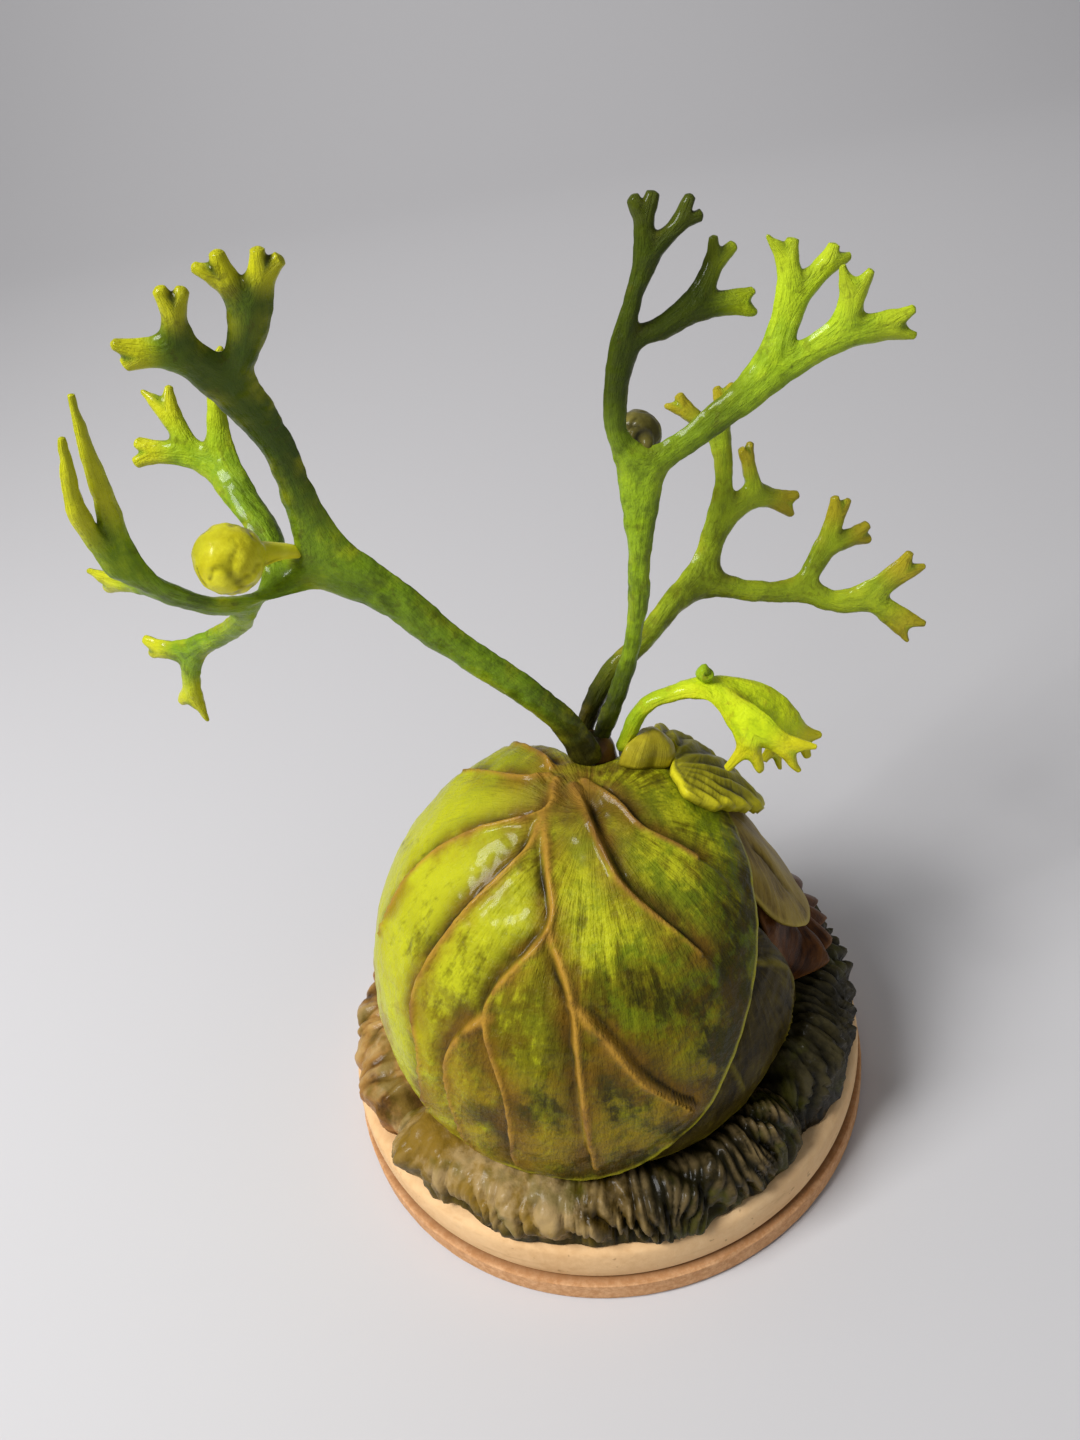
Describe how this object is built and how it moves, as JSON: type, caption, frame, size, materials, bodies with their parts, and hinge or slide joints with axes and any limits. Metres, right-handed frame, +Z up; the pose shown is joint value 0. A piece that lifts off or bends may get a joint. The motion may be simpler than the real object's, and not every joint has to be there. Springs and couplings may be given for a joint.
{
  "type": "staghorn fern sculpture",
  "caption": "Painted clay staghorn fern: veined shield fronds round a ball, forked antler fronds rising from its crown, and a rolled collar, on a round routed wooden base.",
  "frame": {"origin": "middle of the wooden base's underside", "axes": "+Z up, -Y towards the front of the veined shield, +X to the viewer's right"},
  "size_m": [0.1888, 0.15, 0.248],
  "materials": {
    "pale_wood": "bare turned wood, sawn lower band",
    "old_frond_paint": "dark olive and brown paint under gloss varnish",
    "raw_clay": "matt clay",
    "shield_paint": "yellow-green paint with brown veins under varnish",
    "dry_shield_paint": "tan paint under varnish",
    "dead_frond_paint": "rust-brown paint under varnish",
    "young_paint": "lime and yellow paint under varnish",
    "spore_paint": "ochre paint under varnish",
    "antler_paint": "green paint, yellow at the tips, under varnish",
    "armature_wire": "bare wire"
  },
  "bodies": {
    "root": {"wooden_base": "pale_wood", "front_collar_roll": "old_frond_paint", "right_collar_folds": "old_frond_paint", "back_collar_roll": "old_frond_paint", "left_collar_strip": "old_frond_paint", "clay_core": "raw_clay", "crown_plug": "raw_clay", "front_shield": "shield_paint", "left_shield": "shield_paint", "back_shield": "shield_paint", "olive_shield": "shield_paint", "dry_shield": "dry_shield_paint", "rust_dead_frond": "dead_frond_paint", "brown_dead_frond": "dead_frond_paint", "fan_leaf": "young_paint", "young_frond": "young_paint", "young_lobe": "young_paint", "shield_bud": "spore_paint", "left_spore_lobe": "spore_paint", "right_spore_lobe": "spore_paint", "left_antler_frond": "antler_paint", "right_antler_frond": "antler_paint", "rear_antler_frond": "antler_paint", "left_wire": "armature_wire", "right_wire": "armature_wire", "rear_wire": "armature_wire", "young_wire": "armature_wire"}
  },
  "joints": []
}
